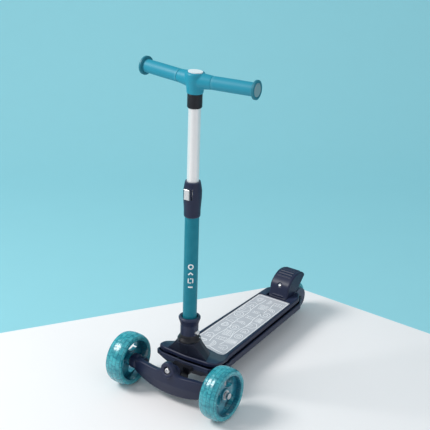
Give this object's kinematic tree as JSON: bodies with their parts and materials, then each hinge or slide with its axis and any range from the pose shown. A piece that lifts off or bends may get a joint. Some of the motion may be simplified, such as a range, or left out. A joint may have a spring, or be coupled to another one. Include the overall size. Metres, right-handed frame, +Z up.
{
  "type": "kick scooter",
  "caption": "Child's lean-to-steer kick scooter with two wheels in front, one behind, a height-adjustable T handlebar and a foot brake over the rear wheel.",
  "frame": {"origin": "on the ground, under the middle of the overall length and width", "axes": "+X forward in the riding direction, +Y to the rider's left, +Z up"},
  "size_m": [0.591, 0.297, 0.7379],
  "materials": {
    "navy_plastic": "satin moulded plastic, fine grain",
    "black_plastic": "matt moulded plastic",
    "mat_rubber": "printed grip sheet, matt",
    "teal_tube_paint": "gloss paint over aluminium",
    "white_tube": "satin anodised",
    "teal_plastic": "satin moulded plastic",
    "teal_grip": "soft satin rubber",
    "teal_flange": "soft satin rubber, deeper tone",
    "end_cap_metal": "brushed",
    "badge_white": "gloss",
    "teal_tyre": "clear tinted polyurethane",
    "teal_rim": "gloss tinted plastic",
    "button_metal": "bright",
    "steel": "zinc plated",
    "black_steel": "black zinc plated",
    "nylon": "natural nylon",
    "elastomer": "matt rubber"
  },
  "bodies": {
    "deck": {"deck_grip_mat": "mat_rubber", "kingpin_block": "black_plastic", "deck_lower_shell": "navy_plastic", "deck_upper_shell": "navy_plastic", "underside_screws": "steel", "column_housing": "navy_plastic", "housing_ring": "black_plastic", "ring_screws": "steel", "column_socket": "navy_plastic", "lower_tube": "teal_tube_paint", "button_seat": "nylon", "button_spring": "steel", "height_clamp": "navy_plastic", "tube_top_bush": "nylon", "steering_cushion": "elastomer", "pivot_bolt": "steel", "pivot_nut": "steel", "rear_fork": "navy_plastic", "rear_axle_spacers": "steel", "rear_axle_bolt": "black_steel", "rear_axle_nut": "black_steel", "brake_hinge_pin": "steel", "brake_spring": "steel"},
    "front_truck": {"front_bridge": "navy_plastic", "front_spindles": "steel", "pivot_bush": "nylon", "pivot_washer": "black_plastic", "front_axle_nuts": "steel", "front_axle_washers": "steel"},
    "front_left_wheel": {"front_left_tyre": "teal_tyre", "front_left_rim": "teal_rim", "front_left_bearings": "steel", "front_left_bearing_spacer": "steel"},
    "front_right_wheel": {"front_right_tyre": "teal_tyre", "front_right_rim": "teal_rim", "front_right_bearings": "steel", "front_right_bearing_spacer": "steel"},
    "rear_wheel": {"rear_tyre": "teal_tyre", "rear_rim": "teal_rim", "rear_bearings": "steel", "rear_bearing_spacer": "steel"},
    "handlebar": {"upper_tube": "white_tube", "tube_foot_bush": "nylon", "tube_foot_plug": "nylon", "bar_collar": "navy_plastic", "t_bar": "teal_plastic", "top_badge": "badge_white", "bar_core": "steel", "left_grip": "teal_grip", "left_grip_flange": "teal_flange", "left_end_cap": "end_cap_metal", "right_grip": "teal_grip", "right_grip_flange": "teal_flange", "right_end_cap": "end_cap_metal"},
    "height_key": {"height_key": "button_metal"},
    "socket_button": {"socket_button": "button_metal"},
    "brake_fender": {"brake_fender": "navy_plastic", "brake_pad": "elastomer", "fender_screw": "steel"}
  },
  "joints": [
    {"name": "lean_steer", "type": "hinge", "parent": "deck", "child": "front_truck", "pos_m": [0.2633, 0, 0.0865], "axis": [0.8192, 0, 0.5736], "range_deg": [-14, 14], "stiffness_Nm_per_rad": 60},
    {"name": "front_left_wheel_spin", "type": "hinge", "parent": "front_truck", "child": "front_left_wheel", "pos_m": [0.2355, 0.1275, 0.06], "axis": [0, 1, 0], "continuous": true},
    {"name": "front_right_wheel_spin", "type": "hinge", "parent": "front_truck", "child": "front_right_wheel", "pos_m": [0.2355, -0.1275, 0.06], "axis": [0, 1, 0], "continuous": true},
    {"name": "rear_wheel_spin", "type": "hinge", "parent": "deck", "child": "rear_wheel", "pos_m": [-0.2555, 0, 0.04], "axis": [0, 1, 0], "continuous": true},
    {"name": "handlebar_height", "type": "slide", "parent": "deck", "child": "handlebar", "axis": [-0.0506, 0, 0.9987], "range_m": [-0.12, 0]},
    {"name": "height_key_press", "type": "slide", "parent": "deck", "child": "height_key", "axis": [-0.9987, 0, -0.0506], "range_m": [0, 0.0015], "stiffness_N_per_m": 1500, "springref_m": -0.001},
    {"name": "socket_button_press", "type": "slide", "parent": "deck", "child": "socket_button", "axis": [0, -1, 0], "range_m": [0, 0.003], "stiffness_N_per_m": 800, "springref_m": -0.002},
    {"name": "brake_press", "type": "hinge", "parent": "deck", "child": "brake_fender", "pos_m": [-0.194, 0, 0.057], "axis": [0, -1, 0], "range_deg": [0, 10.4], "stiffness_Nm_per_rad": 3, "springref_deg": -8.59}
  ]
}
